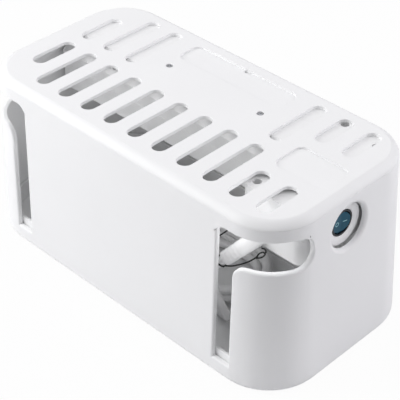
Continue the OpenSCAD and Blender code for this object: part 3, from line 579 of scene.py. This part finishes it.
LEAD_TIE_AT = 0.3  # share of the way to the lead's second point
LEAD_TIE_PITCH = 1.8
LEAD_TIE_POINTS = 20
LEAD_TIE_STEP = 0.5
LEAD_TIE_TAIL = [
    (98.6, -65.2, 88.4), (103, -62.5, 89.2), (107, -60, 91.1), (110.6, -57.5, 93.3),
    (113.7, -55, 95.8), (115.4, -51.2, 97.6), (116.4, -49.6, 100.2), (118.6, -48.4, 102.1),
    (120.6, -48.2, 101.9), (120.2, -49.3, 100.0), (118, -50.6, 98.2), (115.3, -51.9, 97.2),
]
LEAD_TIE_END = [
    (120.6, -47.6, 102.3), (119.4, -46.2, 102.9), (116, -44.2, 101.2), (112.6, -42.6, 98.9),
]


def add_lead_tie():
    """Black twist tie round the lead behind its boot, with a loop at the end of its tail."""
    start, following = (Vector(p) for p in CORD_POINTS[:2])
    around, way = start.lerp(following, LEAD_TIE_AT), (following - start).normalized()
    spoke = way.orthogonal().normalized()
    side = way.cross(spoke)
    ring_r = CORD_D / 2 + TIE_WIRE_R
    turn = []
    for k in range(LEAD_TIE_POINTS):
        a = math.tau * k / TIE_TURN_STEPS
        turn.append(around + ring_r * (math.cos(a) * spoke + math.sin(a) * side)
                    + way * LEAD_TIE_PITCH * k / TIE_TURN_STEPS)
    lengths = (("lead_tie_turn", turn), ("lead_tie_tail", LEAD_TIE_TAIL), ("lead_tie_end", LEAD_TIE_END))
    for name, points in lengths:
        sweep_tie(name, points, LEAD_TIE_STEP)


# ---- Shutter springs ----

SHUTTERS = 5
SPRING_TURNS = 7
SPRING_WIRE_R = 0.2 * MM
SPRING_STEPS = 14  # points in each turn
SPRING_SIDES = 8


def add_spring(number):
    """A shutter's return spring: a coil that is pressed toward its far end by the shutter."""
    node = f"shutter_spring_{number}"
    low, high = (Vector(c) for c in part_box(node))
    middle = (low + high) / 2
    coil_r = (high.z - low.z) / 2 - SPRING_WIRE_R
    run = high.x - low.x - 2 * SPRING_WIRE_R
    count = SPRING_TURNS * SPRING_STEPS
    line = []
    for k in range(count + 1):
        turn = math.tau * k / SPRING_STEPS
        line.append(Vector((low.x + SPRING_WIRE_R + run * k / count,
                            middle.y + coil_r * math.cos(turn),
                            middle.z + coil_r * math.sin(turn))))
    spring = sweep(node + "_coil", line, lambda share: SPRING_WIRE_R, slot_of[node], SPRING_SIDES)
    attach(spring, body_of[node])
    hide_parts(node)
    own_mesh(spring)


# ---- Marks on the rocker ----

ROCKER_TILT = math.radians(7)
# The marks' sizes in millimetres.
MARK_AT = 3.7
MARK_T = 0.06
BAR_LENGTH = 3.4
BAR_WIDTH = 0.6
RING_OUT_R = 1.75
RING_IN_R = 1.2
RING_STEPS = 32
FACE_PAST_STRIP = 0.2


def bar_faces(form):
    """A flat bar."""
    x, y = BAR_LENGTH / 2, BAR_WIDTH / 2
    return [form.faces.new([form.verts.new((*p, 0)) for p in ((-x, -y), (x, -y), (x, y), (-x, y))])]


def ring_faces(form):
    """A flat ring."""
    turns = [math.tau * k / RING_STEPS for k in range(RING_STEPS)]
    outer, inner = ([form.verts.new((r * math.cos(a), r * math.sin(a), 0)) for a in turns]
                    for r in (RING_OUT_R, RING_IN_R))
    return [form.faces.new((outer[k - 1], outer[k], inner[k], inner[k - 1])) for k in range(RING_STEPS)]


def add_marks():
    """A bar and a ring on the two halves of the rocker, which lean apart by twice its tilt."""
    pivot = Vector(joint_of["rocker_tilt"]["pos_m"])
    face_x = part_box("strip_top_shell")[1][0] + FACE_PAST_STRIP * MM
    hub = Matrix.Translation(pivot) @ Matrix.Rotation(-ROCKER_TILT, 4, "Z")
    hub = hub @ Matrix.Translation((face_x - pivot.x, 0, 0))
    for name, faces_of, side in (("rocker_mark_on", bar_faces, 1), ("rocker_mark_off", ring_faces, -1)):
        form = bmesh.new()
        raised = bmesh.ops.extrude_face_region(form, geom=faces_of(form))["geom"]
        for vert in (v for v in raised if isinstance(v, bmesh.types.BMVert)):
            vert.co.z += 2 * MARK_T
        bmesh.ops.recalc_face_normals(form, faces=form.faces)
        mesh = bpy.data.meshes.new(name)
        form.to_mesh(mesh)
        form.free()
        along = Vector((math.sin(ROCKER_TILT), side * math.cos(ROCKER_TILT), 0))
        up = Vector((0, 0, 1))
        out = Vector((math.cos(ROCKER_TILT), -side * math.sin(ROCKER_TILT), 0))
        place = Matrix((along, up, out)).transposed().to_4x4()
        place = hub @ Matrix.Translation(along * MARK_AT * MM) @ place
        mesh.transform(place @ Matrix.Translation((0, 0, -MARK_T * MM)) @ Matrix.Scale(MM, 4))
        mesh.materials.append(mark_ink)
        piece = bpy.data.objects.new(name, mesh)
        scene.collection.objects.link(piece)
        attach(piece, "switch_rocker")


# ---- Floor and lights ----

FLOOR_SIZE = 6
FLOOR_WHITE = (0.82, 0.82, 0.83)
FLOOR_GLOW = 0.95


def add_floor():
    """A white floor with the object's shadow. The camera sees it almost as bright as the sky."""
    bpy.ops.mesh.primitive_plane_add(size=FLOOR_SIZE, location=(0, 0, 0))
    floor = bpy.context.object
    floor.name = "floor"
    material = bpy.data.materials.new("floor_white")
    material.use_nodes = True
    nodes, links = material.node_tree.nodes, material.node_tree.links
    nodes.clear()
    path = nodes.new("ShaderNodeLightPath")
    diffuse = nodes.new("ShaderNodeBsdfDiffuse")
    diffuse.inputs["Color"].default_value = (*FLOOR_WHITE, 1)
    glow = nodes.new("ShaderNodeEmission")
    glow.inputs["Color"].default_value = (1, 1, 1, 1)
    share = nodes.new("ShaderNodeMath")
    share.operation = "MULTIPLY"
    share.inputs[1].default_value = FLOOR_GLOW
    mix = nodes.new("ShaderNodeMixShader")
    out = nodes.new("ShaderNodeOutputMaterial")
    links.new(path.outputs["Is Camera Ray"], share.inputs[0])
    links.new(share.outputs[0], mix.inputs["Fac"])
    links.new(diffuse.outputs[0], mix.inputs[1])
    links.new(glow.outputs[0], mix.inputs[2])
    links.new(mix.outputs[0], out.inputs["Surface"])
    floor.data.materials.append(material)


FLAG_AZIMUTH = 45
FLAG_AWAY = 0.6
FLAG_WIDTH = 0.55
FLAG_HEIGHT = 0.45
FLAG_BLACK = (0.02, 0.02, 0.02)


def add_flag():
    """A dark card that faces the right front corner and keeps it shaded."""
    a = math.radians(FLAG_AZIMUTH)
    place = (FLAG_AWAY * math.sin(a), -FLAG_AWAY * math.cos(a), FLAG_HEIGHT / 2)
    bpy.ops.mesh.primitive_plane_add(size=1, location=place, rotation=(math.pi / 2, 0, a))
    flag = bpy.context.object
    flag.name = "flag"
    flag.scale = (FLAG_WIDTH, FLAG_HEIGHT, 1)
    flag.visible_camera = False
    flag.visible_glossy = False
    material, _ = new_material("flag_black", FLAG_BLACK, 0.5)
    flag.data.materials.append(material)


LAMP_AWAY = 1.6
LAMP_AIM = Vector((0, 0, 0.08))
LAMPS = (
    {"name": "key_left", "azimuth": -45, "elevation": 32, "size": 1.0, "power": 16},
    {"name": "fill_right", "azimuth": 135, "elevation": 30, "size": 1.0, "power": 9.6,
     "colour": (0.98, 0.965, 1)},
    {"name": "top", "azimuth": 0, "elevation": 85, "size": 1.2, "power": 2.5},
)


def add_lamp(name, azimuth, elevation, size, power, colour=(1, 1, 1)):
    """A square softbox that faces the box. Azimuth 0 stands in front and 90 to the right."""
    data = bpy.data.lights.new(name, "AREA")
    data.shape = "SQUARE"
    data.size = size
    data.energy = power
    data.color = colour
    lamp = bpy.data.objects.new(name, data)
    a, e = math.radians(azimuth), math.radians(elevation)
    way = Vector((math.sin(a) * math.cos(e), -math.cos(a) * math.cos(e), math.sin(e)))
    lamp.location = LAMP_AIM + way * LAMP_AWAY
    lamp.rotation_euler = (-way).to_track_quat("-Z", "Y").to_euler()
    scene.collection.objects.link(lamp)


INNER_LAMP_R = 20 * MM
# Each inner lamp's place in millimetres and its power: one at the left window, four along the front
# slots and two in the right mouth.
INNER_LAMPS = (
    ((-100, -50, 84), 0.01),
    ((-60, -62, 100), 0.0055),
    ((-20, -62, 100), 0.0055),
    ((20, -62, 100), 0.0055),
    ((60, -62, 100), 0.0055),
    ((106, -62, 122), 0.013),
    ((124, -60, 106), 0.007),
)


def add_inner_lamp(place, power):
    """A weak soft lamp inside the box, for the light that thin white walls let through."""
    data = bpy.data.lights.new("inner", "POINT")
    data.shadow_soft_size = INNER_LAMP_R
    data.energy = power
    lamp = bpy.data.objects.new("inner", data)
    lamp.location = [v * MM for v in place]
    lamp.visible_camera = False
    lamp.visible_glossy = False
    scene.collection.objects.link(lamp)


SKY = 0.47
SKY_COLOUR = (0.985, 0.98, 1)


def add_lights():
    """The softboxes, the lamps inside the box and an even sky, which the camera sees as white."""
    for lamp in LAMPS:
        add_lamp(**lamp)
    for place, power in INNER_LAMPS:
        add_inner_lamp(place, power)
    world = bpy.data.worlds.new("studio")
    world.use_nodes = True
    scene.world = world
    nodes, links = world.node_tree.nodes, world.node_tree.links
    back = nodes["Background"]
    path = nodes.new("ShaderNodeLightPath")
    level = nodes.new("ShaderNodeMapRange")
    level.inputs["To Min"].default_value = SKY
    level.inputs["To Max"].default_value = 1.0
    links.new(path.outputs["Is Camera Ray"], level.inputs["Value"])
    links.new(level.outputs["Result"], back.inputs["Strength"])
    back.inputs["Color"].default_value = (*SKY_COLOUR, 1)


# ---- The scene ----

scene.view_settings.view_transform = "Standard"
add_camera()
lead = add_lead()
boot = add_boot()
seen = dress_nodes()
hank_tie = add_hank_tie()
add_lead_tie()
add_marks()
for number in range(1, SHUTTERS + 1):
    add_spring(number)
add_floor()
add_flag()
add_lights()
